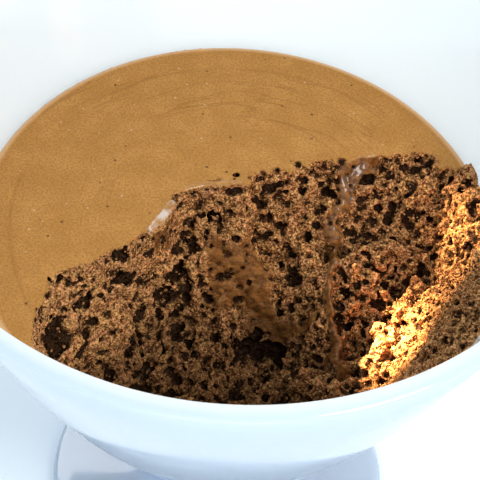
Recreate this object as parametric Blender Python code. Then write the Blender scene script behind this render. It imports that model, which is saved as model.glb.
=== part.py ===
# Chocolate mousse in its footed opal-glass bowl, with a spooned-out hollow.
# Blender 4.5, metres, +Z up. The origin is under the middle of the foot.
import bpy
from math import asin, atan2, cos, degrees, exp, hypot, pi, radians, sin, sqrt, tau
from mathutils import Vector, noise
from mathutils.geometry import interpolate_bezier

# Glass bowl
rimHeight = 0.108        # top of the rim above the table
rimRadius = 0.056        # outside of the rim
rimRound = 0.0008        # height of the rounding of the rim
wall = 0.003             # wall thickness, also of the rim
bowlDepth = 0.076        # rim to the underside of the bowl
bowlTaper = 0.35         # how much the radius shrinks per metre of depth
bowlSquareness = 4       # exponent that rounds the bottom of the bowl
bottomThickness = 0.0035
stemRadius = 0.0065
stemWaistHeight = 0.017  # height of the thinnest place of the stem
neckFlare = 0.66         # share of the bowl's lower radius that the neck keeps at first
neckRise = 0.005
stemFlare = 0.0105       # height that the stem starts to widen into the foot
footSlopeRadius = 0.014  # from here the foot's top is nearly straight
footSlopeHeight = 0.0052
footRadius = 0.034
footThickness = 0.0030   # at the edge of the foot
footBevel = 0.0009
footFlatWidth = 0.007    # the ring that the glass stands on
footHollow = 0.0022      # height of the hollow under the foot

# Mousse
mousseDepth = 0.0265     # rim to the level top of the mousse
edgeRound = 0.0012       # rounding where the top meets the glass
swirlRadius = 0.0370     # shallow ring left by smoothing the top
swirlDepth = 0.0003
gap = 0.0003             # left between the glass and the mousse

# Spooned-out hollow
hollowCentre = (0.002, -0.016)
hollowFloorDepth = 0.0545   # rim to the deepest place
floorReach = 0.032          # the floor is round, about this far out
backSteepness = 1.5         # exponent of the rise from the floor to the edge, behind
leftSteepness = 3.2         # and at the left, where the spoon went in
hollowEdge = [              # the torn edge in the level top, from the left wall to the right wall
    (-0.0300, -0.0315), (-0.0303, -0.0190), (-0.0285, -0.0112), (-0.0230, -0.0095),
    (-0.0185, -0.0050), (-0.0140, 0.0000), (-0.0100, 0.0060), (-0.0050, 0.0100),
    (0.0025, 0.0110), (0.0085, 0.0148), (0.0165, 0.0158), (0.0220, 0.0188),
    (0.0350, 0.0203), (0.0400, 0.0180)]
layerAtSide = 0.0040        # mousse left on the glass at the right
layerAtNear = 0.0026        # and in front
layerDrop = 0.0060          # how far that layer's torn rim lies below the level in front
layerLumps = 0.0010
ridgeX = 0.0172             # the ridge between two spoonfuls runs from front to back here
ridgeHeight = 0.0030
ridgeWidth = 0.0040
lumpHeight = 0.0018
lumpSize = 0.0070

sides = 64                  # around the glass and the mousse
cutSides = 90               # around the hollow


def clearScene():
    for obj in list(bpy.data.objects):
        bpy.data.objects.remove(obj)


def makeMaterial(name, colour, roughness):
    material = bpy.data.materials.new(name)
    material.use_nodes = True
    material.diffuse_color = (*colour, 1.0)
    shader = material.node_tree.nodes["Principled BSDF"]
    shader.inputs["Base Color"].default_value = (*colour, 1.0)
    shader.inputs["Roughness"].default_value = roughness
    shader.inputs["Metallic"].default_value = 0.0
    return material


def addObject(name, points, edges, faces):
    mesh = bpy.data.meshes.new(name)
    mesh.from_pydata(points, edges, faces)
    mesh.update()
    obj = bpy.data.objects.new(name, mesh)
    bpy.context.scene.collection.objects.link(obj)
    return obj


# The bowl tapers like a cone and closes like a superellipse.
def bowlRadius(depth, rim, bottom):
    closing = (1 - (depth / bottom) ** bowlSquareness) ** (1 / bowlSquareness)
    return (rim - bowlTaper * depth) * closing


# Points (radius, height) down the bowl, closer together where it turns in.
def bowlProfile(rim, bottom, startDepth, endAngle, steps):
    startAngle = asin((startDepth / bottom) ** 2)
    points = []
    for i in range(steps + 1):
        angle = startAngle + (endAngle - startAngle) * i / steps
        depth = bottom * sqrt(sin(angle))
        radius = (rim - bowlTaper * depth) * sqrt(max(cos(angle), 0.0))
        points.append((radius, rimHeight - depth))
    return points


def bezier(a, b, c, d, steps):
    ends = [Vector((r, 0, z)) for r, z in (a, b, c, d)]
    return [(p.x, p.z) for p in interpolate_bezier(*ends, steps + 1)]


# Section of the glass: up the inside, over the rim, down the outside, under the foot.
def glassProfile():
    lip = wall / 2
    lipRadius = rimRadius - bowlTaper * rimRound - lip
    lipHeight = rimHeight - rimRound
    inside = bowlProfile(rimRadius - wall, bowlDepth - bottomThickness, rimRound, pi / 2, 9)[::-1]
    rim = [(lipRadius - lip * cos(radians(a)), lipHeight + rimRound * sin(radians(a)))
           for a in (30, 60, 90, 120, 150)]
    outside = bowlProfile(rimRadius, bowlDepth, rimRound, radians(71), 8)
    radius, height = outside[-1]
    waist = (stemRadius, stemWaistHeight)
    neck = bezier((radius, height), (radius * neckFlare, height - neckRise),
                  (stemRadius, height - neckRise), waist, 6)[1:]
    flare = bezier(waist, (stemRadius, stemWaistHeight - stemFlare), (footSlopeRadius, footSlopeHeight),
                   (footRadius - footBevel, footThickness), 6)[1:]
    edge = [(footRadius, footThickness - footBevel), (footRadius, footBevel), (footRadius - footBevel, 0.0)]
    flatInner = footRadius - footBevel - footFlatWidth
    under = [(flatInner, 0.0), (0.85 * flatInner, 0.7 * footHollow), (0.4 * flatInner, footHollow),
             (0.0, footHollow)]
    return inside + rim + outside + neck + flare + edge + under


def makeGlass():
    profile = glassProfile()
    points = [(r, 0.0, z) for r, z in profile]
    edges = [(i, i + 1) for i in range(len(points) - 1)]
    glass = addObject("glass", points, edges, [])
    turn = glass.modifiers.new("turn", "SCREW")
    turn.angle = tau
    turn.steps = sides
    turn.render_steps = sides
    turn.use_merge_vertices = True
    turn.merge_threshold = 0.00005
    turn.use_smooth_shade = True
    glass.data.materials.append(makeMaterial("opal_glass", (0.86, 0.90, 0.93), 0.12))
    return glass


# Rings of points joined by quads, with a pole at both ends.
def loft(rings, bottomPole, topPole):
    count = len(rings[0])
    points = [bottomPole] + [p for ring in rings for p in ring] + [topPole]
    faces = []
    for i in range(count):
        j = (i + 1) % count
        faces.append((0, 1 + j, 1 + i))
        for k in range(len(rings) - 1):
            a = 1 + k * count
            faces.append((a + i, a + j, a + count + j, a + count + i))
        last = 1 + (len(rings) - 1) * count
        faces.append((last + i, last + j, len(points) - 1))
    return points, faces


def turnedRing(radius, height):
    return [(radius * cos(tau * i / sides), radius * sin(tau * i / sides), height) for i in range(sides)]


def innerSize():
    return rimRadius - wall - gap, bowlDepth - bottomThickness - gap


# The mousse before it was eaten: it fills the bowl up to its level, smooth top.
def makeWholeMousse():
    rim, bottom = innerSize()
    profile = bowlProfile(rim, bottom, mousseDepth + edgeRound, radians(84), 9)[::-1]
    top = rimHeight - mousseDepth
    edge = bowlRadius(mousseDepth, rim, bottom)
    profile += [(edge - edgeRound * 0.3, top - edgeRound * 0.3), (edge - edgeRound, top),
                (swirlRadius + 0.002, top), (swirlRadius, top - swirlDepth), (swirlRadius - 0.003, top),
                (0.022, top), (0.009, top)]
    rings = [turnedRing(radius, height) for radius, height in profile]
    points, faces = loft(rings, (0, 0, rimHeight - bottom), (0, 0, top))
    return addObject("mousse", points, [], faces)


# Height of the inside of the bowl where its radius is the one given.
def wallHeight(radius):
    rim, bottom = innerSize()
    low, high = 0.0, bottom
    for _ in range(40):
        middle = (low + high) / 2
        if bowlRadius(middle, rim, bottom) > radius:
            low = middle
        else:
            high = middle
    return rimHeight - low


# Reach of the hollow from its centre, for a direction in degrees, and whether it ends at the glass.
def hollowReach(angle):
    cx, cy = hollowCentre
    corners = sorted((degrees(atan2(y - cy, x - cx)) % 360, hypot(x - cx, y - cy)) for x, y in hollowEdge)
    angle %= 360
    for (a, ra), (b, rb) in zip(corners, corners[1:]):
        if a <= angle <= b:
            return ra + (rb - ra) * (angle - a) / (b - a), False
    outer = bowlRadius(mousseDepth, *innerSize()) + 0.001
    dx, dy = cos(radians(angle)), sin(radians(angle))
    along = cx * dx + cy * dy
    return sqrt(along * along + outer * outer - cx * cx - cy * cy) - along, True


# Exponent of the hollow's rise: it grows from the back round to the left side.
def steepness(angle):
    turn = angle % 360
    share = min(max((turn - 105) / 50, 0.0), 1.0) * min(max((250 - turn) / 30, 0.0), 1.0)
    return backSteepness + (leftSteepness - backSteepness) * share


# 1 straight in front of the glass, 0 at its sides and behind.
def nearness(x, y):
    return max(0.0, -y / max(hypot(x, y), 0.001)) ** 2


def bumps(x, y, size, seed):
    return noise.noise(Vector((x / size, y / size, seed)))


# Height of the torn face; part runs from 0 over the floor to 1 at the edge of the hollow.
def tornHeight(x, y, part, angle, toGlass):
    floor = rimHeight - hollowFloorDepth
    level = rimHeight - mousseDepth
    height = floor + (level - floor) * part ** steepness(angle)
    ridge = ridgeHeight * exp(-((x - ridgeX) / ridgeWidth) ** 2)
    height += ridge * min(1.0, 2.5 * part) * max(0.0, 1 - part ** 6)
    lumps = bumps(x, y, lumpSize, 0.3) + 0.5 * bumps(x, y, lumpSize / 2, 0.7)
    height += lumpHeight * lumps * (1 - 0.6 * min(part, 1) ** 4)
    if not toGlass:
        return height
    near = nearness(x, y)
    layer = layerAtSide + (layerAtNear - layerAtSide) * near
    height = max(height, wallHeight(hypot(x, y) + layer))
    tornRim = level - layerDrop * (0.1 + 0.9 * min(1, near * 1.6)) + layerLumps * bumps(x, y, lumpSize, 3.7)
    return min(height, tornRim)


# What the spoon took: its lower face is the torn face of the hollow.
def makeHollowCutter():
    cx, cy = hollowCentre
    rings = []
    for part in (0.1, 0.2, 0.3, 0.4, 0.5, 0.6, 0.7, 0.79, 0.87, 0.94, 1.0, 1.08):
        ring = []
        for i in range(cutSides):
            angle = 360 * i / cutSides
            edge, toGlass = hollowReach(angle)
            reach = part * (floorReach + (edge - floorReach) * min(part, 1) ** 2)
            x = cx + reach * cos(radians(angle))
            y = cy + reach * sin(radians(angle))
            ring.append((x, y, tornHeight(x, y, part, angle, toGlass)))
        rings.append(ring)
    lid = rimHeight - mousseDepth + 0.012
    rings.append([(x, y, lid) for x, y, z in rings[-1]])
    points, faces = loft(rings, (cx, cy, tornHeight(cx, cy, 0.0, 0.0, False)), (cx, cy, lid))
    cutter = addObject("hollow_cutter", points, [], faces)
    cutter.data.shade_smooth()
    cutter.hide_render = True
    cutter.display_type = "WIRE"
    return cutter


def makeMousse():
    mousse = makeWholeMousse()
    cut = mousse.modifiers.new("hollow", "BOOLEAN")
    cut.operation = "DIFFERENCE"
    cut.object = makeHollowCutter()
    mousse.data.shade_smooth()
    mousse.data.set_sharp_from_angle(angle=radians(40))
    mousse.data.materials.append(makeMaterial("chocolate_mousse", (0.29, 0.15, 0.065), 0.6))
    return mousse


def main():
    clearScene()
    makeGlass()
    makeMousse()


main()
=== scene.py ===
import math
import bpy
import numpy as np
from mathutils import Matrix, Vector


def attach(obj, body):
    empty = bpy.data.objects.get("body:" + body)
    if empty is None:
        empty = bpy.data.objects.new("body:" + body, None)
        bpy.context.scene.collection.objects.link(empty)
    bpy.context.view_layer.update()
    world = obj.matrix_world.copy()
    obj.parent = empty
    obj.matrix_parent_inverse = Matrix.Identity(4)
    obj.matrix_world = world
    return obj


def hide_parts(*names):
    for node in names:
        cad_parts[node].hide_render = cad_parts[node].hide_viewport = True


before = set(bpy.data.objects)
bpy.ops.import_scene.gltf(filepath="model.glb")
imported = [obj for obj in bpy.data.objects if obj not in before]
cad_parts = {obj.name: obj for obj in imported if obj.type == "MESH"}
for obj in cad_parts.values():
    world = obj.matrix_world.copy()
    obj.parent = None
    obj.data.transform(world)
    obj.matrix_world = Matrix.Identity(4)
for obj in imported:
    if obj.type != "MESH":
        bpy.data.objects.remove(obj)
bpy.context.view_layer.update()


# A wire is an output socket: sums and products on it add Math nodes, and add() makes every other node.
class Wire:
    def __init__(self, socket):
        self.socket = socket
        self.tree = socket.id_data

    def __getitem__(self, name):
        return Wire(self.socket.node.outputs[name])

    def math(self, operation, first, second=0.0):
        return add(self.tree, "ShaderNodeMath", {"operation": operation}, {0: first, 1: second})

    def __add__(self, other):
        return self.math("ADD", self, other)

    def __radd__(self, other):
        return self.math("ADD", other, self)

    def __sub__(self, other):
        return self.math("SUBTRACT", self, other)

    def __rsub__(self, other):
        return self.math("SUBTRACT", other, self)

    def __mul__(self, other):
        return self.math("MULTIPLY", self, other)

    def __rmul__(self, other):
        return self.math("MULTIPLY", other, self)

    def __truediv__(self, other):
        return self.math("DIVIDE", self, other)

    def __pow__(self, other):
        return self.math("POWER", self, other)

    def __abs__(self):
        return self.math("ABSOLUTE", self)

    def clamp(self):
        return self.math("MINIMUM", self.math("MAXIMUM", self, 0.0), 1.0)

    # 0 below low, 1 above high, smooth between
    def between(self, low, high):
        return add(self.tree, "ShaderNodeMapRange", {"interpolation_type": "SMOOTHSTEP"},
                   {"Value": self, "From Min": low, "From Max": high})


def add(tree, kind, settings=None, inputs=None):
    node = tree.nodes.new(kind)
    for name, value in (settings or {}).items():
        setattr(node, name, value)
    for name, value in (inputs or {}).items():
        if isinstance(value, Wire):
            tree.links.new(value.socket, node.inputs[name])
        else:
            node.inputs[name].default_value = value
    return Wire(node.outputs[0]) if node.outputs else node


def blend(tree, share, first, second):
    first, second = [(*c, 1.0) if isinstance(c, tuple) else c for c in (first, second)]
    return add(tree, "ShaderNodeMix", {"data_type": "RGBA"}, {0: share, 6: first, 7: second})[2]


def newMaterial(name):
    material = bpy.data.materials.new(name)
    material.use_nodes = True
    return material, material.node_tree, material.node_tree.nodes["Principled BSDF"]


def feed(tree, shader, values):
    for name, value in values.items():
        if isinstance(value, Wire):
            tree.links.new(value.socket, shader.inputs[name])
        else:
            shader.inputs[name].default_value = value


def finishPiece(piece, node=None):
    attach(piece, "root")
    if node:
        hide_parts(node)
    return piece


def newObject(name, mesh):
    piece = bpy.data.objects.new(name, mesh)
    bpy.context.scene.collection.objects.link(piece)
    return piece


bowl = {
    "rimHeight": 0.108,
    "rimRadius": 0.056,
    "rimRound": 0.0008,
    "wall": 0.003,
    "depth": 0.076,          # rim to the underside of the bowl
    "bottom": 0.0035,        # glass under the mousse
    "taper": 0.35,
    "squareness": 4,
    "stemRadius": 0.0065,
    "waistHeight": 0.017,
    "neckFlare": 0.66,
    "neckRise": 0.005,
    "stemFlare": 0.0105,
    "slopeRadius": 0.014,
    "slopeHeight": 0.0052,
    "footRadius": 0.034,
    "footThickness": 0.0030,
    "footBevel": 0.0009,
    "footFlat": 0.007,
    "footHollow": 0.0022,
    "sides": 192,
}


# inner or outer radius of the bowl at a depth below the rim
def bowlRadius(depth, rim, bottom):
    closing = np.clip(1 - (depth / bottom) ** bowl["squareness"], 0, 1) ** (1 / bowl["squareness"])
    return (rim - bowl["taper"] * depth) * closing


# Radius of the inside at the rim and its depth, in millimetres.
def insideOfBowl():
    return 1000 * (bowl["rimRadius"] - bowl["wall"]), 1000 * (bowl["depth"] - bowl["bottom"])


def bowlSide(rim, bottom, lastAngle, steps):
    first = math.asin((bowl["rimRound"] / bottom) ** 2)
    angles = np.linspace(first, lastAngle, steps)
    depth = bottom * np.sqrt(np.sin(angles))
    radius = (rim - bowl["taper"] * depth) * np.sqrt(np.clip(np.cos(angles), 0, 1))
    return list(zip(radius, bowl["rimHeight"] - depth))


def bezier(a, b, c, d, steps):
    t = np.linspace(0, 1, steps)[1:, None]
    a, b, c, d = (np.array(p) for p in (a, b, c, d))
    curve = a * (1 - t) ** 3 + 3 * b * t * (1 - t) ** 2 + 3 * c * t ** 2 * (1 - t) + d * t ** 3
    return [tuple(p) for p in curve]


def glassProfile():
    b = bowl
    lip = b["wall"] / 2
    lipRadius = b["rimRadius"] - b["taper"] * b["rimRound"] - lip
    lipHeight = b["rimHeight"] - b["rimRound"]
    inside = bowlSide(b["rimRadius"] - b["wall"], b["depth"] - b["bottom"], math.pi / 2, 28)[::-1]
    turns = np.radians(np.linspace(0, 180, 13)[1:-1])
    rim = [(lipRadius - lip * math.cos(a), lipHeight + b["rimRound"] * math.sin(a)) for a in turns]
    outside = bowlSide(b["rimRadius"], b["depth"], math.radians(71), 24)
    radius, height = outside[-1]
    waist = (b["stemRadius"], b["waistHeight"])
    neck = bezier((radius, height), (radius * b["neckFlare"], height - b["neckRise"]),
                  (b["stemRadius"], height - b["neckRise"]), waist, 16)
    flare = bezier(waist, (b["stemRadius"], b["waistHeight"] - b["stemFlare"]),
                   (b["slopeRadius"], b["slopeHeight"]),
                   (b["footRadius"] - b["footBevel"], b["footThickness"]), 18)
    turns = np.radians(np.linspace(75, -90, 12))
    middle = b["footThickness"] / 2
    edge = [(b["footRadius"] - b["footBevel"] * (1 - math.cos(a)),
             middle + (middle if a < 0 else middle * 0.98) * math.sin(a)) for a in turns]
    flatInner = b["footRadius"] - b["footBevel"] - b["footFlat"]
    under = [(flatInner, 0.0)] + bezier((flatInner, 0.0), (0.93 * flatInner, b["footHollow"]),
                                        (0.7 * flatInner, b["footHollow"]), (0.0, b["footHollow"]), 9)
    return inside + rim + outside + neck + flare + edge + under


# Geometry Nodes turn a profile once round the Z axis.
def turnedTree(material):
    tree = bpy.data.node_groups.new("turnedPiece", "GeometryNodeTree")
    tree.interface.new_socket("Profile", in_out="INPUT", socket_type="NodeSocketGeometry")
    tree.interface.new_socket("Points", in_out="INPUT", socket_type="NodeSocketInt")
    tree.interface.new_socket("Sides", in_out="INPUT", socket_type="NodeSocketInt")
    tree.interface.new_socket("Geometry", in_out="OUTPUT", socket_type="NodeSocketGeometry")
    given = add(tree, "NodeGroupInput")
    across = given["Sides"] + 1
    grid = add(tree, "GeometryNodeMeshGrid", None, {"Vertices X": given["Points"], "Vertices Y": across})
    index = add(tree, "GeometryNodeInputIndex")
    row = index.math("FLOOR", index / across + 0.00001)
    turn = (index - row * across) / given["Sides"] * math.tau
    place = add(tree, "GeometryNodeInputPosition")
    point = add(tree, "GeometryNodeSampleIndex", {"data_type": "FLOAT_VECTOR"},
                {"Geometry": given["Profile"], "Value": place, "Index": row})
    parts = add(tree, "ShaderNodeSeparateXYZ", None, {0: point})
    where = add(tree, "ShaderNodeCombineXYZ", None, {
        "X": parts["X"] * turn.math("COSINE", turn),
        "Y": parts["X"] * turn.math("SINE", turn),
        "Z": parts["Z"]})
    moved = add(tree, "GeometryNodeSetPosition", None, {"Geometry": grid, "Position": where})
    merged = add(tree, "GeometryNodeMergeByDistance", None, {"Geometry": moved, "Distance": 0.00001})
    smooth = add(tree, "GeometryNodeSetShadeSmooth", None, {"Geometry": merged})
    endTree(tree, smooth, material)
    return tree


def endTree(tree, geometry, material):
    solid = add(tree, "GeometryNodeRealizeInstances", None, {"Geometry": geometry})
    painted = add(tree, "GeometryNodeSetMaterial", None, {"Geometry": solid, "Material": material})
    add(tree, "NodeGroupOutput", None, {"Geometry": painted})


# Runs a tree on a mesh and returns the plain result.
def growMesh(name, mesh, tree, inputs):
    helper = newObject(name + "Helper", mesh)
    grow = helper.modifiers.new("grow", "NODES")
    grow.node_group = tree
    names = {item.name: item.identifier for item in tree.interface.items_tree if item.in_out == "INPUT"}
    for key, value in inputs.items():
        grow[names[key]] = value
    bpy.context.view_layer.update()
    grown = bpy.data.meshes.new_from_object(helper.evaluated_get(bpy.context.evaluated_depsgraph_get()))
    bpy.data.objects.remove(helper)
    grown.name = name
    return grown


opalLook = {
    "colour": (0.84, 0.91, 0.95),
    "outside": (0.47, 0.58, 0.88),  # painted shade: seen from outside it is coloured darker and bluer, as the outer wall lies in shade
    "cloud": (0.82, 0.90, 0.95),    # very faint cloudiness in the glass
    "roughness": 0.07,
    "ior": 1.5,
    "glow": 1.0,                    # share of light that travels inside the white glass
    "glowDepth": 0.02,
}


def opalGlass():
    material, tree, shader = newMaterial("whiteOpalGlass")
    place = add(tree, "ShaderNodeTexCoord")["Object"]
    cloud = add(tree, "ShaderNodeTexNoise", None, {"Vector": place, "Scale": 45.0, "Detail": 2.0})
    flat = add(tree, "ShaderNodeVectorMath", {"operation": "MULTIPLY"}, {0: place, 1: (1.0, 1.0, 0.0)})
    away = add(tree, "ShaderNodeVectorMath", {"operation": "NORMALIZE"}, {0: flat})
    normal = add(tree, "ShaderNodeNewGeometry")["Normal"]
    facing = add(tree, "ShaderNodeVectorMath", {"operation": "DOT_PRODUCT"}, {0: away, 1: normal})["Value"]
    white = blend(tree, cloud.between(0.35, 0.7), opalLook["colour"], opalLook["cloud"])
    feed(tree, shader, {
        # painted shade: faces turned away from the axis take the darker, bluer outside colour
        "Base Color": blend(tree, facing.between(-0.5, 0.4), white, opalLook["outside"]),
        "Roughness": opalLook["roughness"] + 0.03 * cloud.between(0.4, 0.8),
        "IOR": opalLook["ior"],
        "Subsurface Weight": opalLook["glow"],
        "Subsurface Scale": opalLook["glowDepth"],
        "Subsurface Radius": (1.0, 1.0, 1.0),
        "Coat Weight": 0.3,
        "Coat Roughness": 0.03,
    })
    return material


def makeGlass():
    profile = glassProfile()
    wire = bpy.data.meshes.new("glassProfile")
    wire.from_pydata([(r, 0.0, z) for r, z in profile], [], [])
    material = opalGlass()
    tree = turnedTree(material)
    mesh = growMesh("footedBowl", wire, tree, {"Points": len(profile), "Sides": bowl["sides"]})
    piece = newObject("footedBowl", mesh)
    finishPiece(piece, "glass")
    print("footed bowl:", len(mesh.polygons), "faces")
    return piece


# The mousse is a solid field in millimetres, carved by bubbles and then meshed.

mousse = {
    "level": 81.5,        # height of the smooth top
    "bedding": 0.2,       # how far it reaches into the glass
    "edgeBand": 1.4,      # the top turns down a little this near the glass
    "edgeDrop": 0.5,
    "voxel": 0.28,
    "fieldReach": 45.0,   # the field goes this far from the axis,
    "fieldFloor": 34.5,   # starts at this height
    "headroom": 8.0,      # and ends this far above the smooth top
    "plainFace": 2.0,     # size of the faces where nothing fine is seen
    "plainReach": 41.5,   # the smooth top has them out to this radius,
    "plainDepth": 3.5,    # this far inside the torn face,
    "buriedDepth": 2.2,   # and the buried sides this far
    "skin": 0.5,          # thickness of the smooth skin on top
    # parts of the torn face, by x
    "split": [("tornRight", 17.0, 60.0), ("tornMiddle", -1.5, 17.0), ("tornLeft", -60.0, -1.5)],
    "splitDepth": 4.0,
    "lap": 0.6,           # how far the parts run into each other
    "lapDip": 0.25,
    "shading": 1.0,       # width over which hollow places are found for the shade painted into them
    "seed": 7,
}

hollow = {
    "centre": (2.0, -16.0),
    "floor": 53.5,        # height of the deepest place
    "floorReach": 32.0,
    "backSteepness": 1.5,
    "leftSteepness": 3.2,
    "edge": [(-30.0, -31.5), (-30.3, -19.0), (-29.0, -12.5), (-24.7, -10.2), (-18.6, -6.0), (-14.2, -1.8),
             (-12.0, 2.7), (-9.8, 7.0), (-6.4, 8.9), (1.5, 10.6), (5.4, 13.1), (10.6, 15.2),
             (18.4, 16.8), (22.0, 18.4), (28.1, 19.0), (35.5, 19.6), (41.5, 18.6)],
    "layerAtSide": 4.1,   # mousse left on the glass
    "layerAtNear": 2.9,
    "layerBlend": 2.5,
    "sideRise": 5.8,      # how far that layer stands above the smooth top at the right
    "nearDrop": 6.0,      # and how far it lies below it in front
    "erosion": 0.6,       # the bubbles move the torn edge out by about this much
    "lumps": [(9.0, 1.5), (4.4, 1.0), (2.2, 0.5)],        # size and height
    "cracks": [(7.0, 2.4, 0.16), (3.6, 1.2, 0.14)],       # spacing, depth and width
    "roughness": [(2.6, 0.32), (1.3, 0.16)],              # size and depth, in all directions
    "sponge": [(1.7, 0.75, 0.32)],                        # size, threshold and depth of irregular pores
    "spongeLayer": 0.5,
    "closedAtGlass": 0.8,         # no pores this near the glass
    "pastEdge": (1.02, 40.0),     # past this share of its reach the torn face climbs this steeply
    "leftAngles": (105, 250),     # the left steepness holds between these angles
    "leftFade": (50, 30),         # and sets in and ends over so many degrees
    "riseAngle": (-28, 17),       # middle and width, in degrees, of the raised layer at the right
}

# the ridge of smeared mousse between two spoonfuls: x, y, width
smear = {
    "path": [(24.0, 19.0, 1.5), (19.5, 15.0, 1.6), (17.6, 10.0, 1.1), (16.6, 6.0, 1.5), (17.2, 1.0, 1.1),
             (17.6, -4.0, 1.2), (18.6, -9.0, 0.9), (20.4, -16.0, 0.8)],
    "height": 1.5,
    "sway": (1.8, 0.5),       # size and reach of its wavering
    "broken": (1.2, 0.4),     # and of the gaps in it
}

# places that the spoon sheared smooth: x, y, width, depth, share
shearedPatches = [
    (1.2, 0.8, 8.0, 4.6, 0.85), (6.0, -2.8, 5.0, 2.8, 0.8), (11.5, -5.2, 5.6, 2.4, 0.75),
    (-12.8, 2.0, 1.6, 2.6, 1.0), (23.5, 17.0, 2.6, 1.8, 0.9),
]

# rises and dips in the torn face: x, y, radius, height
swells = [
    (-23.0, -9.5, 4.0, 2.6), (-18.0, -7.5, 3.2, 1.8), (-26.0, -14.0, 3.0, 2.0), (-26.0, -22.5, 4.0, -8.0),
    (-20.0, -18.0, 4.5, -3.5), (9.0, 5.5, 2.4, -2.2), (11.5, 0.5, 2.6, -2.4), (7.0, 10.0, 2.0, -1.4),
    (29.0, -11.5, 6.0, 1.6), (-13.0, -3.5, 2.4, -2.2), (-9.5, 2.0, 2.2, -1.6), (0.5, 0.5, 6.5, 1.2),
    (13.0, -16.0, 3.5, 2.0), (7.0, -11.0, 3.6, -2.4),
]

# wet, smooth beads on the torn edge, glossy and with a painted glint: how brightly it shines, then x, y,
# radius
beads = [
    (1.0, [(-13.9, -2.2, 0.5), (-13.0, -0.2, 1.2), (-11.9, 1.8, 1.2), (-10.7, 4.2, 0.6)]),
    (0.75, [(-8.6, 7.4, 0.4), (-5.5, 8.8, 0.6), (-2.0, 9.4, 0.6), (1.0, 9.8, 0.35)]),
]

# single holes to be seen: centre, radius across, radius up
caves = [
    ((3.6, -6.8, 56.2), 2.6, 2.0), ((6.4, -7.0, 55.2), 3.0, 2.4), ((9.2, -6.9, 55.0), 2.6, 2.2),
    ((5.2, -5.4, 57.4), 1.8, 1.5), ((22.5, 15.4, 77.4), 1.5, 1.3),
    ((-7.6, 3.4, 70.6), 1.9, 1.6), ((-9.2, 0.2, 67.2), 1.7, 1.9), ((-11.4, -2.8, 63.8), 1.9, 2.1),
    ((-18.0, -6.8, 79.4), 1.8, 1.7), ((-13.2, -3.4, 76.0), 1.5, 1.6), ((-14.5, -7.5, 63.0), 2.2, 1.6),
    ((-24.0, -13.0, 73.0), 1.6, 1.5), ((11.5, 1.5, 67.0), 1.8, 1.8), ((8.6, 7.8, 74.0), 1.5, 2.0),
    ((-0.3, 11.3, 80.6), 0.9, 0.9), ((-4.4, 7.4, 75.0), 1.6, 1.2), ((-27.0, -20.0, 72.5), 4.0, 4.5),
    ((-10.0, 0.2, 67.8), 1.3, 1.0), ((20.0, -2.2, 67.0), 1.0, 1.2), ((18.9, -6.2, 66.0), 0.8, 1.0),
    ((-18.5, -6.6, 73.0), 1.6, 1.2), ((27.5, 16.5, 79.3), 1.3, 1.0),
]

bubbles = {
    "perCubicMillimetre": 2.2,
    "smallest": 0.30,
    "largest": 1.05,
    "slope": 3.6,         # larger bubbles get rarer by this power
    "open": 0.8,          # share of its radius that a bubble may lie under the torn face
}


# Smooth random field with about unit spread, on a regular grid of the given sizes.
def softNoise(sizes, step, cell, seed):
    rng = np.random.default_rng(seed)
    field = rng.standard_normal([int(n * step / cell) + 5 for n in sizes]).astype(np.float32)
    for axis, n in enumerate(sizes):
        at = np.arange(n) * step / cell
        low = at.astype(int)
        t = at - low
        weights = np.zeros((n, field.shape[axis]), np.float32)
        spline = ((1 - t) ** 3 / 6, (3 * t ** 3 - 6 * t ** 2 + 4) / 6,
                  (-3 * t ** 3 + 3 * t ** 2 + 3 * t + 1) / 6, t ** 3 / 6)
        for k, share in enumerate(spline):
            weights[np.arange(n), low + k] += share
        field = np.moveaxis(np.tensordot(weights, field, (1, axis)), 0, axis)
    return field / field.std()


def smoothStep(value, low, high):
    t = np.clip((value - low) / (high - low), 0, 1)
    return t * t * (3 - 2 * t)


# Reach of the hollow from its centre, and where it runs to the glass.
def hollowReach(angle, outer):
    cx, cy = hollow["centre"]
    edge = np.array(hollow["edge"]) - (cx, cy)
    turns = np.degrees(np.arctan2(edge[:, 1], edge[:, 0])) % 360
    order = np.argsort(turns)
    reach = np.interp(angle, turns[order], np.hypot(edge[:, 0], edge[:, 1])[order]) - hollow["erosion"]
    dx, dy = np.cos(np.radians(angle)), np.sin(np.radians(angle))
    along = cx * dx + cy * dy
    toGlass = (angle < turns.min()) | (angle > turns.max())
    return np.where(toGlass, np.sqrt(along ** 2 + outer ** 2 - cx * cx - cy * cy) - along, reach), toGlass


def wallHeights(radius, rim, bottom):
    depth = np.linspace(0, bottom, 2000)
    radii = bowlRadius(depth, rim, bottom)
    return 1000 * bowl["rimHeight"] - np.interp(-radius, -radii, depth)


def nearPath(x, y, path):
    best = np.full(x.shape, 1e9)
    for (ax, ay, aw), (bx, by, bw) in zip(path, path[1:]):
        length = (bx - ax) ** 2 + (by - ay) ** 2
        t = np.clip(((x - ax) * (bx - ax) + (y - ay) * (by - ay)) / length, 0, 1)
        gap = np.hypot(x - ax - t * (bx - ax), y - ay - t * (by - ay)) / (aw + t * (bw - aw))
        best = np.minimum(best, gap)
    return best


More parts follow.
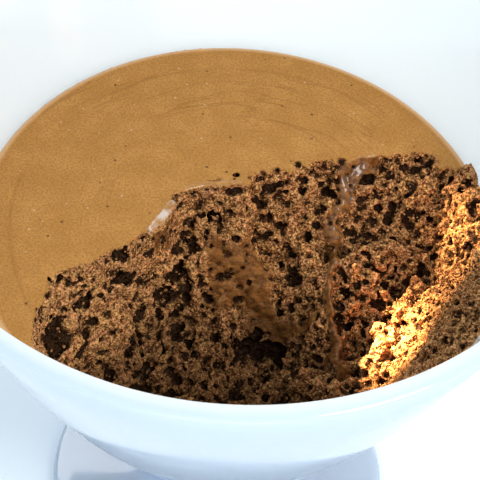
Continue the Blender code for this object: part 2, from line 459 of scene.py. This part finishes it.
# Heights of the torn face and of the top over a grid, and where the top is torn too.
def tornHeights(x, y, rim, bottom):
    cx, cy = hollow["centre"]
    level = mousse["level"]
    sizes, step, seed = x.shape, mousse["voxel"], mousse["seed"]
    radius = np.hypot(x, y)
    angle = np.degrees(np.arctan2(y - cy, x - cx)) % 360
    outer = bowlRadius(1000 * bowl["rimHeight"] - level, rim, bottom) + 1.0
    reach, toGlass = hollowReach(angle, outer)
    distance = np.hypot(x - cx, y - cy)
    part = distance / reach
    for _ in range(8):      # undo the blend from a round floor to the torn edge
        part = distance / (hollow["floorReach"] + (reach - hollow["floorReach"]) * np.minimum(part, 1) ** 2)
    (first, last), (fadeIn, fadeOut) = hollow["leftAngles"], hollow["leftFade"]
    turn = np.clip((angle - first) / fadeIn, 0, 1) * np.clip((last - angle) / fadeOut, 0, 1)
    steep = hollow["backSteepness"] + (hollow["leftSteepness"] - hollow["backSteepness"]) * turn
    edgeEnd, climb = hollow["pastEdge"]
    height = hollow["floor"] + (level - hollow["floor"]) * part ** steep
    height += climb * np.maximum(0, part - edgeEnd)
    for px, py, size, rise in swells:
        height += rise * np.exp(-((x - px) ** 2 + (y - py) ** 2) / size ** 2)
    fade = 1 - 0.5 * np.clip(part, 0, 1) ** 4
    broken = smear["broken"][1] * np.maximum(0, softNoise(sizes, step, smear["broken"][0], seed + 62))
    sway = smear["sway"][1] * softNoise(sizes, step, smear["sway"][0], seed + 63)
    ridge = nearPath(x + sway, y, smear["path"]) + broken
    calm = calmShare(x, y, ridge)
    for i, (size, rise) in enumerate(hollow["lumps"]):
        height += rise * fade * softNoise(sizes, step, size / 2, seed + i) * (1 - 0.8 * calm * (size < 6))
    for i, (size, deep, width) in enumerate(hollow["cracks"]):
        line = softNoise(sizes, step, size / 2, seed + 40 + i)
        gaping = np.clip(0.5 + softNoise(sizes, step, 5.0, seed + 45 + i), 0, 1) * (1 - calm)
        height -= deep * gaping * np.exp(-(line / width) ** 2) * np.clip(6 - 6 * part, 0, 1)
    height += smear["height"] * np.exp(-ridge ** 2) * fade
    near = np.clip(-y / np.maximum(radius, 1), 0, 1) ** 2
    layer = hollow["layerAtSide"] + (hollow["layerAtNear"] - hollow["layerAtSide"]) * near
    layer = layer + 0.5 * softNoise(sizes, step, 3.0, seed + 11)
    side = wallHeights(radius + layer, rim, bottom)
    soft = hollow["layerBlend"]
    both = np.maximum(height, side) + soft * np.exp(-np.abs(height - side) / soft) * 0.5
    middle, width = hollow["riseAngle"]
    rise = hollow["sideRise"] * np.exp(-((np.degrees(np.arctan2(y, x)) - middle) / width) ** 2)
    tornRim = level + rise - (hollow["nearDrop"] + rise) * smoothStep(near, 0.3, 0.9)
    tornRim = tornRim + 0.6 * softNoise(sizes, step, 2.5, seed + 12)
    height = np.where(toGlass, np.minimum(both, tornRim), height)
    top = level - mousse["edgeDrop"] * smoothStep(radius, outer - 1 - mousse["edgeBand"], outer - 1)
    return height, np.where(toGlass, level + 9, top), toGlass, ridge


# 1 where the mousse was smeared or sheared smooth, 0 where it is torn open.
def calmShare(x, y, ridge):
    calm = np.exp(-(ridge / 1.2) ** 4)
    waver, sway = (softNoise(x.shape, mousse["voxel"], 1.6, mousse["seed"] + 60 + i) for i in range(2))
    for px, py, wide, deep, share in shearedPatches:
        across, along = (x + 0.9 * waver - px) / wide, (y + 0.8 * sway - py) / deep
        calm = np.maximum(calm, share * np.exp(-(across ** 2 + along ** 2) ** 2))
    return calm


# 1 on the beads at the edge, where it is wet and shines, by coat gloss and a painted glint.
def beadShare(x, y):
    share = np.zeros(x.shape)
    for shine, path in beads:
        share = np.maximum(share, shine * np.exp(-(nearPath(x, y, path) / 1.2) ** 4))
    return share


# How far inside (negative) or outside each grid point lies, and how deep under the torn face.
def mousseField():
    step = mousse["voxel"]
    rim, bottom = (size + mousse["bedding"] for size in insideOfBowl())
    half = math.ceil(mousse["fieldReach"] / step)
    across = np.arange(-half, half + 1) * step
    up = np.arange(mousse["fieldFloor"], mousse["level"] + mousse["headroom"], step)
    x, y = np.meshgrid(across, across, indexing="ij")
    height, top, toGlass, ridge = tornHeights(x, y, rim, bottom)
    slopeX, slopeY = np.gradient(height, step)
    lean = 1 / np.sqrt(1 + np.minimum(slopeX ** 2 + slopeY ** 2, 9))
    torn = ((up[None, None, :] - height[:, :, None]) * lean[:, :, None]).astype(np.float32)
    face = torn.copy()
    origin = (across[0], across[0], up[0])
    for centre, radius, tall in caves:
        carve(torn, origin, centre, radius, tall)
    calm = calmShare(x, y, ridge)
    for i, (size, depth) in enumerate(hollow["roughness"]):
        rough = depth * (1 - 0.55 * calm).astype(np.float32)
        torn += rough[:, :, None] * softNoise(torn.shape, step, size / 2, mousse["seed"] + 20 + i)
    wall = np.hypot(x, y)[:, :, None] - bowlRadius(1000 * bowl["rimHeight"] - up, rim, bottom)
    porous = torn.copy()
    for i, (size, least, depth) in enumerate(hollow["sponge"]):
        pores = softNoise(torn.shape, step, size / 2, mousse["seed"] + 30 + i)
        pores = (pores - least - 1.5 * calm[:, :, None]) * depth
        closed = 3 * np.maximum(0, wall + hollow["closedAtGlass"])
        pores -= np.maximum(0, -torn - hollow["spongeLayer"]) + closed
        np.maximum(porous, pores, out=porous)
    lid = up[None, None, :] - top[:, :, None]
    shape = {"x": x, "y": y, "up": up, "origin": origin, "toGlass": toGlass, "calm": calm,
             "ridge": 0.6 * np.exp(-(ridge / 0.9) ** 4), "bead": beadShare(x, y), "top": top, "face": face}
    return np.maximum(wall, lid).astype(np.float32), torn, porous, shape


# Hollows an ellipsoid out of the field.
def carve(field, origin, centre, radius, tall):
    step = mousse["voxel"]
    low, high, axes = [], [], []
    for axis, (c, r) in enumerate(zip(centre, (radius, radius, tall))):
        start = origin[axis]
        a = max(0, int((c - r - 1 - start) / step))
        b = min(field.shape[axis], int((c + r + 1 - start) / step) + 2)
        if a >= b:
            return
        low.append(a)
        high.append(b)
        axes.append((start + np.arange(a, b) * step - c) / r)
    block = field[low[0]:high[0], low[1]:high[1], low[2]:high[2]]
    far = np.sqrt(axes[0][:, None, None] ** 2 + axes[1][None, :, None] ** 2 + axes[2][None, None, :] ** 2)
    np.maximum(block, ((1 - far) * min(radius, tall)).astype(np.float32), out=block)


# Joins the beads to the field with a soft seam.
def addBeads(field, torn, shape):
    up = shape["up"][None, None, :]
    for _, path in beads:
        gap = nearPath(shape["x"], shape["y"], path)
        size = max(width for *_, width in path)
        bead = size * np.hypot(gap[:, :, None], (up - mousse["level"]) / size + 0.85) - size
        for grid in (field, torn):
            soft = np.clip(0.5 - (bead - grid) / 1.2, 0, 1)
            grid[:] = np.minimum(grid + soft * (bead - grid) - 0.3 * soft * (1 - soft), grid)


def blowBubbles(field, outer, torn, shape):
    step, seed = mousse["voxel"], mousse["seed"]
    rng = np.random.default_rng(seed + 50)
    low = np.array(shape["origin"])
    size = np.array(field.shape) * step
    tries = int(size.prod() * bubbles["perCubicMillimetre"])
    places = low + rng.random((tries, 3)) * size
    i, j, k = np.minimum(((places - low) / step + 0.5).astype(int), np.array(field.shape) - 1).T
    least, most, power = bubbles["smallest"], bubbles["largest"], 1 - bubbles["slope"]
    radii = (least ** power + rng.random(tries) * (most ** power - least ** power)) ** (1 / power)
    patch = softNoise(shape["x"].shape, step, 3.5, seed + 51)     # some places are more open than others
    dense = 0.75 + 0.22 * patch[i, j] - 0.78 * shape["calm"][i, j]
    keep = np.abs(torn[i, j, k]) < bubbles["open"] * radii
    keep &= rng.random(tries) < dense
    keep &= outer[i, j, k] < -0.35 - radii      # none open to the glass or through the smooth top
    places, radii = places[keep], radii[keep]
    for place, radius in zip(places, radii):
        carve(field, shape["origin"], place, radius, radius * 0.9)
    print("bubbles:", len(radii))


# One point in every cell that the surface crosses, one face over every crossed grid edge.
def surfaceNet(field):
    inside = field < 0
    sizes = [n - 1 for n in field.shape]
    corners = [(a, b, c) for a in (0, 1) for b in (0, 1) for c in (0, 1)]
    count = np.zeros(sizes, np.uint8)
    for a, b, c in corners:
        count += inside[a:sizes[0] + a, b:sizes[1] + b, c:sizes[2] + c]
    cells = np.flatnonzero((count > 0) & (count < 8))
    number = np.full(count.size, -1, np.int32)
    number[cells] = np.arange(len(cells))
    base = np.stack(np.unravel_index(cells, count.shape), 1)
    values = [field[base[:, 0] + a, base[:, 1] + b, base[:, 2] + c] for a, b, c in corners]
    total, hits = np.zeros((len(cells), 3)), np.zeros(len(cells))
    for m, first in enumerate(corners):
        for n, second in enumerate(corners):
            if n <= m or sum(abs(p - q) for p, q in zip(first, second)) != 1:
                continue
            crossed = np.flatnonzero((values[m] < 0) != (values[n] < 0))
            t = (values[m][crossed] / (values[m][crossed] - values[n][crossed]))[:, None]
            total[crossed] += np.array(first) * (1 - t) + np.array(second) * t
            hits[crossed] += 1
    points = base + total / hits[:, None]
    faces = []
    stride = (sizes[1] * sizes[2], sizes[2], 1)
    for axis in range(3):
        b, c = (axis + 1) % 3, (axis + 2) % 3
        ahead = np.take(inside, np.arange(1, field.shape[axis]), axis)
        behind = np.take(inside, np.arange(field.shape[axis] - 1), axis)
        at = np.stack(np.nonzero(ahead != behind), 1)
        leaving = behind[tuple(at.T)]
        home = at @ np.array(stride)
        quad = np.stack([number[home - stride[b] - stride[c]], number[home - stride[c]],
                         number[home], number[home - stride[b]]], 1)
        faces.append(np.where(leaving[:, None], quad, quad[:, ::-1]))
    return points, np.concatenate(faces)


def sample(grid, shape, points):
    step = mousse["voxel"]
    at = [np.clip(((points[:, n] - shape["origin"][n]) / step + 0.5).astype(int), 0, grid.shape[n] - 1)
          for n in range(grid.ndim)]
    return grid[tuple(at)]


def addAttribute(mesh, name, values):
    mesh.attributes.new(name, "FLOAT", "POINT").data.foreach_set("value", values.astype(np.float32))


def meshFromArrays(name, points, faces):
    mesh = bpy.data.meshes.new(name)
    mesh.vertices.add(points.size // 3)
    mesh.vertices.foreach_set("co", points.astype(np.float32).ravel())
    mesh.loops.add(faces.size)
    mesh.loops.foreach_set("vertex_index", faces.astype(np.int32).ravel())
    mesh.polygons.add(len(faces))
    mesh.polygons.foreach_set("loop_start", np.arange(len(faces), dtype=np.int32) * faces.shape[1])
    mesh.update(calc_edges=True)
    return mesh


# Mean of the field over a small cube round each point.
def spread(field, width):
    half = max(1, round(width / mousse["voxel"] / 2))
    for axis in range(3):
        padded = np.pad(field, [(half + 1, half) if n == axis else (0, 0) for n in range(3)], mode="edge")
        total = np.cumsum(padded, axis, dtype=np.float32)
        size = field.shape[axis]
        ahead = np.take(total, np.arange(2 * half + 1, 2 * half + 1 + size), axis)
        field = (ahead - np.take(total, np.arange(size), axis)) / (2 * half + 1)
    return field


# Joins the points of one kind (1 or 2) that lie in one small cube, so plain places get large faces.
def thinOut(points, faces, kind):
    spare = kind > 0
    cube = np.column_stack([np.floor(points[spare] / mousse["plainFace"]).astype(int), kind[spare]])
    home = np.unique(cube, axis=0, return_inverse=True)[1].ravel()
    amount = np.bincount(home)
    middle = np.stack([np.bincount(home, points[spare][:, n]) / amount for n in range(3)], 1)
    number = np.empty(len(points), int)
    number[~spare] = np.arange((~spare).sum())
    number[spare] = (~spare).sum() + home
    corners = number[np.concatenate([faces[:, [0, 1, 2]], faces[:, [0, 2, 3]]])]
    a, b, c = corners.T
    return np.concatenate([points[~spare], middle]), corners[(a != b) & (b != c) & (c != a)]


# Meshes one part of the field, gives it what its colours, painted shade and painted glints need and tells
# where crumbs may lie on it.
def moussePiece(name, field, outer, torn, filled, shape, material):
    points, faces = surfaceNet(field)
    points = np.array(shape["origin"]) + points * mousse["voxel"]
    depth = -sample(torn, shape, points)
    under = sample(shape["top"], shape, points) - points[:, 2]
    sided = sample(shape["toGlass"], shape, points)
    wall = sample(outer, shape, points) > -0.4
    inner = np.hypot(points[:, 0], points[:, 1]) < mousse["plainReach"]
    smoothTop = ~sided & (under < 0.4) & (depth > mousse["plainDepth"]) & inner
    cell = np.floor(points[:, :2] / mousse["plainFace"]) @ (1, 1000)
    smoothTop &= ~np.isin(cell, cell[(under < 0.4) & ~smoothTop])    # whole squares only: no face folds over
    buried = (depth > mousse["buriedDepth"]) & (under > 1.0) | wall & (under > 1.2) & (depth > 0.6)
    points, faces = thinOut(points, faces, np.where(smoothTop, 1, np.where(buried, 2, 0)))
    under = sample(shape["top"], shape, points) - points[:, 2]
    sided = sample(shape["toGlass"], shape, points)
    full = sample(filled, shape, points)
    mesh = meshFromArrays(name, points / 1000, faces)
    addAttribute(mesh, "torn", np.where(sided, 1, smoothStep(under, 0.1, mousse["skin"])))
    # cavity: how much mousse lies round each point, for the painted shade in hollow places
    addAttribute(mesh, "cavity", np.clip((full - 0.35) / 0.5, 0, 1))
    # sunk: depth under the torn face, for painted shade in sunk places
    addAttribute(mesh, "sunk", np.clip(-sample(shape["face"], shape, points) / 1.5, 0, 1))
    calm = sample(shape["calm"], shape, points)
    addAttribute(mesh, "calm", calm)
    high = smoothStep(points[:, 2], mousse["level"] - 2.6, mousse["level"] - 1.4)
    bead = sample(shape["bead"], shape, points) * high
    # wet: for the coat gloss and for the painted glint on the beads
    addAttribute(mesh, "wet", np.maximum(bead, sample(shape["ridge"], shape, points)))
    mesh.shade_smooth()
    mesh.materials.append(material)
    piece = newObject(name, mesh)
    finishPiece(piece, "mousse")
    print(name + ":", len(faces), "triangles")
    return mesh, (-sample(torn, shape, points) < 1.0) & (under > 0.5) & (calm < 0.3)


def makeMousse(material):
    outer, torn, porous, shape = mousseField()
    field = np.maximum(outer, porous)
    print("mousse field:", field.shape)
    blowBubbles(field, outer, torn, shape)
    addBeads(field, torn, shape)
    # share of mousse round each point, used to paint shade into hollow places
    filled = spread(spread((field < 0).astype(np.float32), mousse["shading"]), mousse["shading"])
    x = shape["x"][:, :, None].astype(np.float32)
    belowTop = np.where(shape["toGlass"][:, :, None], -9, shape["up"] - mousse["level"] + 0.7)
    crust = np.maximum(-mousse["splitDepth"] - torn, belowTop.astype(np.float32))
    rest = field
    for name, low, high in mousse["split"]:
        part = np.maximum(crust, np.maximum(low - x, x - high))
        face = moussePiece(name, lapped(field, part), outer, torn, filled, shape, material)
        makeCrumbs(name.replace("torn", "crumbs"), *face, material)
        rest = lapped(rest, -part)
    moussePiece("mousseBody", rest, outer, torn, filled, shape, material)


# Keeps the inside of a part and a lap beyond it, which dips under the next piece so that no seam shows.
def lapped(field, part):
    lap = mousse["lap"]
    return np.maximum(field + mousse["lapDip"] * np.clip(part / lap, 0, 1), part - lap)


crumbs = {
    "perSquareMillimetre": 0.42,
    "smallest": 0.12,     # radii in millimetres
    "largest": 0.42,
    "uneven": 0.35,       # share of the radius by which they are lumpy
    "seed": 3,
}


# Geometry Nodes strew small balls over a mesh: crumbs on the torn face, froth along the glass.
def strewTree(material):
    tree = bpy.data.node_groups.new("strewn", "GeometryNodeTree")
    tree.interface.new_socket("Ground", in_out="INPUT", socket_type="NodeSocketGeometry")
    for name in ("Density", "Smallest", "Largest", "Uneven", "Torn"):
        tree.interface.new_socket(name, in_out="INPUT", socket_type="NodeSocketFloat")
    tree.interface.new_socket("Seed", in_out="INPUT", socket_type="NodeSocketInt")
    tree.interface.new_socket("Geometry", in_out="OUTPUT", socket_type="NodeSocketGeometry")
    given = add(tree, "NodeGroupInput")
    places = add(tree, "GeometryNodeDistributePointsOnFaces", None,
                 {"Mesh": given["Ground"], "Density": given["Density"], "Seed": given["Seed"]})
    ball = add(tree, "GeometryNodeMeshIcoSphere", None, {"Radius": 1.0, "Subdivisions": 1})
    chance = add(tree, "FunctionNodeRandomValue", {"data_type": "FLOAT"},
                 {2: 0.0, 3: 1.0, "Seed": given["Seed"]})[1]
    size = given["Smallest"] + (given["Largest"] - given["Smallest"]) * chance ** 3.0
    turn = add(tree, "FunctionNodeRandomValue", {"data_type": "FLOAT_VECTOR"},
               {0: (0.0, 0.0, 0.0), 1: (6.0, 6.0, 6.0), "Seed": given["Seed"]})
    balls = add(tree, "GeometryNodeInstanceOnPoints", None,
                {"Points": places, "Instance": ball, "Rotation": turn, "Scale": size})
    solid = add(tree, "GeometryNodeRealizeInstances", None, {"Geometry": balls})
    lumps = add(tree, "ShaderNodeTexNoise", None, {"Scale": 2600.0, "Detail": 1.0})
    normal = add(tree, "GeometryNodeInputNormal")
    push = add(tree, "ShaderNodeVectorMath", {"operation": "SCALE"},
               {0: normal, "Scale": (lumps - 0.5) * given["Uneven"] * given["Largest"] * 2.0})
    lumpy = add(tree, "GeometryNodeSetPosition", None, {"Geometry": solid, "Offset": push})
    marked = add(tree, "GeometryNodeStoreNamedAttribute", {"data_type": "FLOAT"},
                 {"Geometry": lumpy, "Name": "torn", "Value": given["Torn"]})
    smooth = add(tree, "GeometryNodeSetShadeSmooth", None, {"Geometry": marked})
    endTree(tree, smooth, material)
    return tree


def makeCrumbs(name, mesh, shown, material):
    points = np.empty(len(mesh.vertices) * 3, np.float32)
    corners = np.empty(len(mesh.polygons) * 3, np.int32)
    mesh.vertices.foreach_get("co", points)
    mesh.polygons.foreach_get("vertices", corners)
    faces = corners.reshape(-1, 3)
    ground = meshFromArrays(name + "Ground", points, faces[shown[faces].all(1)])
    strewn = growMesh(name, ground, strewTree(material), {
        "Density": crumbs["perSquareMillimetre"] * 1e6, "Smallest": crumbs["smallest"] / 1000,
        "Largest": crumbs["largest"] / 1000, "Uneven": crumbs["uneven"],
        "Torn": 1.0, "Seed": crumbs["seed"]})
    finishPiece(newObject(name, strewn))
    print(name + ":", len(strewn.polygons), "faces")


froth = {
    "angles": (98, 212),  # round the bowl, in degrees
    "width": 0.8,
    "perSquareMillimetre": 3.0,
    "smallest": 0.07,
    "largest": 0.26,
    "seed": 5,
}


# small bubbles where the smooth top meets the glass at the left
def makeFroth(material):
    depth = 1000 * bowl["rimHeight"] - mousse["level"] + mousse["edgeDrop"]
    radius = bowlRadius(depth, *insideOfBowl())
    turns = np.radians(np.linspace(*froth["angles"], 60))
    points = [(r * math.cos(a), r * math.sin(a), z) for a in turns
              for r, z in ((radius - 0.1, mousse["level"] - 0.35),
                           (radius - froth["width"], mousse["level"] - 0.05))]
    faces = [(2 * i, 2 * i + 1, 2 * i + 3, 2 * i + 2) for i in range(len(turns) - 1)]
    ground = meshFromArrays("frothGround", np.array(points) / 1000, np.array(faces))
    strewn = growMesh("froth", ground, strewTree(material), {
        "Density": froth["perSquareMillimetre"] * 1e6, "Smallest": froth["smallest"] / 1000,
        "Largest": froth["largest"] / 1000, "Uneven": 0.0,
        "Torn": 0.0, "Seed": froth["seed"]})
    finishPiece(newObject("froth", strewn))
    print("froth:", len(strewn.polygons), "faces")


mousseLook = {
    "top": (0.466, 0.213, 0.0515),
    "topLight": (0.542, 0.257, 0.069),
    # dark tone for the top's grain and for the painted shade in the arcs
    "topDark": (0.27, 0.105, 0.022),
    "edgeLight": (0.80, 0.46, 0.22),
    "torn": (0.25, 0.084, 0.021),
    # pale crumb tones: partly the crumbs' own colour, partly painted highlight
    "tornLight": (0.87, 0.45, 0.160),
    "tornPink": (0.87, 0.405, 0.165),
    # painted shade between crumbs
    "gap": (0.045, 0.014, 0.004),
    # near black painted shade, for pinholes, pits, hollow places and the bottom of the hollow
    "pore": (0.010, 0.003, 0.001),
    "smear": (0.262, 0.104, 0.024),
    "smearDark": (0.115, 0.039, 0.009),
    "wetLight": (0.72, 0.60, 0.52),
    "fleck": (0.75, 0.52, 0.30),
    "ringRadius": 0.0375,           # a faint ring groove in the smooth top, its shade painted darker, in metres
    "edgeFrom": (0.0419, 0.0430),   # painted rim light on the top's edge starts here and is full here
}


def mousseMaterial():
    look = mousseLook
    material, tree, shader = newMaterial("chocolateMousse")
    place = add(tree, "ShaderNodeTexCoord")["Object"]
    torn = add(tree, "ShaderNodeAttribute", {"attribute_name": "torn"})["Fac"]
    cavity = add(tree, "ShaderNodeAttribute", {"attribute_name": "cavity"})["Fac"]
    sunk = add(tree, "ShaderNodeAttribute", {"attribute_name": "sunk"})["Fac"]
    shallow = 1 - sunk.between(0.2, 0.6)
    smeared = add(tree, "ShaderNodeAttribute", {"attribute_name": "calm"})["Fac"] * shallow
    wet = add(tree, "ShaderNodeAttribute", {"attribute_name": "wet"})["Fac"] * shallow

    def noise(scale, detail):
        return add(tree, "ShaderNodeTexNoise", None, {"Vector": place, "Scale": scale, "Detail": detail})

    def cells(where, scale):
        return add(tree, "ShaderNodeTexVoronoi", None, {"Vector": where, "Scale": scale})

    # smooth top: faint arcs left by smoothing it, their groove shade painted darker, specks, and pinholes
    # with painted shade
    parts = add(tree, "ShaderNodeSeparateXYZ", None, {0: place})
    x, y = parts["X"], parts["Y"]
    out = x.math("SQRT", x * x + y * y)
    turn = x.math("ARCTAN2", y, x)
    wavy = out + 0.004 * noise(30.0, 1.0)
    along = add(tree, "ShaderNodeCombineXYZ", None, {"X": wavy * 420.0, "Y": turn * 1.3})
    lines = add(tree, "ShaderNodeTexNoise", None, {"Vector": along, "Scale": 1.0, "Detail": 2.0})
    lines = 1 - abs(lines - 0.5).between(0.0, 0.035)
    faint = noise(55.0, 2.0).between(0.47, 0.62) * out.between(0.017, 0.024) * y.between(-0.004, 0.012)
    ring = 1 - abs(out - look["ringRadius"] + 0.0012 * (noise(40.0, 1.0) - 0.5)).between(0.0, 0.0006)
    arcs = (lines * faint + ring * noise(45.0, 1.0).between(0.45, 0.6) * 0.7).clamp()
    mottled = noise(220.0, 4.0)
    top = blend(tree, mottled.between(0.35, 0.72), look["top"], look["topLight"])
    # painted shade: the grooves of the arcs are coloured darker
    top = blend(tree, arcs * 0.4, top, look["topDark"])
    grainy = noise(2600.0, 2.0)
    top = blend(tree, grainy.between(0.38, 0.66) * 0.5, top, look["topDark"])
    specks = cells(place, 560.0)
    chosen = add(tree, "ShaderNodeSeparateColor", None, {0: specks["Color"]})
    pinhole = (1 - specks["Distance"].between(0.06, 0.16)) * chosen["Red"].between(0.80, 0.82)
    paleSpot = (1 - specks["Distance"].between(0.06, 0.18)) * (1 - chosen["Red"].between(0.14, 0.16))
    # painted shade: pinholes are coloured near black
    top = blend(tree, pinhole * 0.6, top, look["pore"])
    top = blend(tree, paleSpot * 0.5, top, look["fleck"])
    # painted rim light along the top's edge at the glass
    top = blend(tree, out.between(*look["edgeFrom"]) * 0.85, top, look["edgeLight"])

    # torn face: fine crumb between the bubbles; painted shade darkens gaps, pits and hollow places, and
    # painted light makes raised places and the left side paler
    warp = noise(900.0, 2.0)["Color"]
    bent = add(tree, "ShaderNodeVectorMath", {"operation": "MULTIPLY_ADD"},
               {0: warp, 1: (0.0009, 0.0009, 0.0009), 2: place})
    pits = 1 - cells(bent, 1500.0)["Distance"].between(0.15, 0.50)
    finePits = 1 - cells(bent, 2700.0)["Distance"].between(0.15, 0.55)
    calm = 1 - smeared.between(0.25, 0.75) * 0.9
    deep = (cavity.between(0.24, 0.80) + sunk.between(0.26, 0.72)).clamp()
    crumb = noise(2300.0, 2.0) * 0.6 + noise(5200.0, 1.0) * 0.4
    # painted light: raised places are coloured paler
    raised = 1 - cavity.between(0.02, 0.34)
    light = blend(tree, noise(700.0, 1.0).between(0.42, 0.60), look["tornLight"], look["tornPink"])
    # painted light: the left side of the torn face is coloured paler
    paler = 1 - x.between(-0.020, 0.004)
    pale = crumb.between(0.46, 0.60) * 0.9 + raised * 0.3 + paler * 0.25
    face = blend(tree, pale.clamp(), look["torn"], light)
    # painted shade in the gaps between crumbs
    face = blend(tree, (1 - crumb.between(0.36, 0.48)) * 0.8, face, look["gap"])
    drawn = add(tree, "ShaderNodeVectorMath", {"operation": "MULTIPLY"},
                {0: place, 1: (500.0, 1500.0, 500.0)})
    streaks = add(tree, "ShaderNodeTexNoise", None, {"Vector": drawn, "Scale": 1.0, "Detail": 2.0})
    sheared = blend(tree, streaks.between(0.35, 0.65), look["smear"], look["smearDark"])
    face = blend(tree, smeared.between(0.3, 0.75) * 0.9, face, sheared)
    # painted shade in the pits between crumbs
    face = blend(tree, (pits * 0.65 + finePits * 0.5).clamp() * calm * 0.6, face, look["pore"])
    # painted shade in hollow and sunk places
    face = blend(tree, deep * 0.94, face, look["pore"])

    grain = noise(2600.0, 3.0)
    relief = torn * calm * (grain * 0.12 - pits * 0.5 - finePits * 0.28) + torn * (1 - calm) * streaks * 0.5
    smoothRelief = noise(1300.0, 2.0) * 0.05 - pinhole * 0.4 + paleSpot * 0.15 - arcs * 0.10
    height = relief + (1 - torn) * smoothRelief
    bump = add(tree, "ShaderNodeBump", None, {"Strength": 0.9, "Distance": 0.0006, "Height": height})
    # painted shade: the face is darker towards the bottom of the hollow
    low = 1 - parts["Z"].between(0.057, 0.068)
    face = blend(tree, low * 0.5, face, look["pore"])
    colour = blend(tree, torn, top, face)
    # painted highlight: glints on the wet beads are coloured pale
    glints = wet.between(0.78, 0.98) * noise(500.0, 1.0).between(0.3, 0.6)
    colour = blend(tree, glints * 0.8, colour, look["wetLight"])
    feed(tree, shader, {
        "Base Color": colour,
        "Roughness": 0.50 + 0.10 * torn - 0.15 * smeared * torn - 0.25 * wet,
        "Coat Weight": wet,
        "Coat Roughness": 0.10,
        "Normal": bump,
        "IOR": 1.42,
        "Specular IOR Level": 0.12,
    })
    return material


room = {
    "floorColour": (0.93, 0.985, 0.985),
    "sky": (0.87, 1.0, 1.08),
    "skyStrength": 0.60,
}

# name: place, what it looks at, size, watts, colour
lamps = {
    "window": ((-0.36, 0.52, 0.62), (0.0, 0.0, 0.08), 0.34, 1.3, (1.0, 0.99, 0.97)),
    "fill": ((0.50, -0.45, 0.85), (0.0, 0.0, 0.08), 0.40, 6.0, (1.0, 0.99, 0.97)),
    "front": ((0.0, -0.95, 0.16), (0.0, 0.0, 0.06), 0.60, 2.2, (0.92, 1.0, 1.04)),
    "behind": ((0.60, 0.9, 0.13), (0.0, 0.0, 0.09), 0.70, 5.0, (0.90, 1.0, 1.06)),
}

# warm light that falls over the rim onto the right of the hollow: aim, radius and watts of each lamp
sunPatches = {
    "patches": [((0.0266, -0.0122, 0.0698), 0.0028, 560.0), ((0.0270, -0.0122, 0.0700), 0.0048, 190.0),
                ((0.0318, -0.0080, 0.0732), 0.0050, 150.0), ((0.0400, 0.0030, 0.0792), 0.0064, 210.0)],
    "azimuth": 152,
    "elevation": 27,
    "distance": 0.9,
    "size": 0.004,
    "softness": 0.8,
    "colour": (1.0, 0.72, 0.40),
}

view = {
    "target": (0.00112, -0.02508, 0.108),
    "elevation": 50.403,
    "roll": 4.197,
    "distance": 0.21499,
    "lens": 112.5,
}


def makeRoom():
    mesh = bpy.data.meshes.new("floor")
    mesh.from_pydata([(-6, -6, 0), (6, -6, 0), (6, 6, 0), (-6, 6, 0)], [], [(0, 1, 2, 3)])
    material, tree, shader = newMaterial("paleFloor")
    soft = add(tree, "ShaderNodeTexNoise", None, {"Scale": 3.0})
    feed(tree, shader, {
        "Base Color": blend(tree, soft, room["floorColour"], tuple(0.98 * c for c in room["floorColour"])),
        "Roughness": 0.7,
    })
    mesh.materials.append(material)
    floor = newObject("floor", mesh)
    world = bpy.data.worlds.new("studio")
    bpy.context.scene.world = world
    world.use_nodes = True
    back = world.node_tree.nodes["Background"]
    back.inputs["Color"].default_value = (*room["sky"], 1.0)
    back.inputs["Strength"].default_value = room["skyStrength"]
    for name, (place, aim, size, watts, colour) in lamps.items():
        lamp = bpy.data.lights.new(name, "AREA")
        lamp.shape = "DISK"
        lamp.size = size
        lamp.energy = watts
        lamp.color = colour
        placeLamp(lamp, place, aim)


def makeSunPatches():
    s = sunPatches
    turn, lift = math.radians(s["azimuth"]), math.radians(s["elevation"])
    toLamp = Vector((math.cos(turn) * math.cos(lift), math.sin(turn) * math.cos(lift), math.sin(lift)))
    for i, (aim, radius, watts) in enumerate(s["patches"]):
        lamp = bpy.data.lights.new(f"sunPatch{i}", "SPOT")
        lamp.energy = watts
        lamp.color = s["colour"]
        lamp.spot_size = 2 * math.atan(radius / s["distance"])
        lamp.spot_blend = s["softness"]
        lamp.shadow_soft_size = s["size"]
        placeLamp(lamp, Vector(aim) + toLamp * s["distance"], aim)


def placeLamp(lamp, place, aim):
    holder = bpy.data.objects.new(lamp.name, lamp)
    bpy.context.scene.collection.objects.link(holder)
    holder.location = place
    holder.rotation_mode = "QUATERNION"
    holder.rotation_quaternion = (Vector(aim) - Vector(place)).to_track_quat("-Z", "Y")


def makeCamera():
    tilt, roll = math.radians(view["elevation"]), math.radians(view["roll"])
    back = Vector((0, -math.cos(tilt), math.sin(tilt)))
    level, upright = Vector((1, 0, 0)), Vector((0, math.sin(tilt), math.cos(tilt)))
    right = math.cos(roll) * level + math.sin(roll) * upright
    up = -math.sin(roll) * level + math.cos(roll) * upright
    camera = bpy.data.cameras.new("camera")
    camera.lens = view["lens"]
    camera.sensor_width = 36.0
    camera.clip_start = 0.01
    holder = bpy.data.objects.new("camera", camera)
    bpy.context.scene.collection.objects.link(holder)
    place = Matrix((right, up, back)).transposed().to_4x4()
    place.translation = Vector(view["target"]) + back * view["distance"]
    holder.matrix_world = place
    bpy.context.scene.camera = holder
    bpy.context.scene.view_settings.view_transform = "Standard"


makeGlass()
mousseSurface = mousseMaterial()
makeMousse(mousseSurface)
makeFroth(mousseSurface)
makeRoom()
makeSunPatches()
makeCamera()
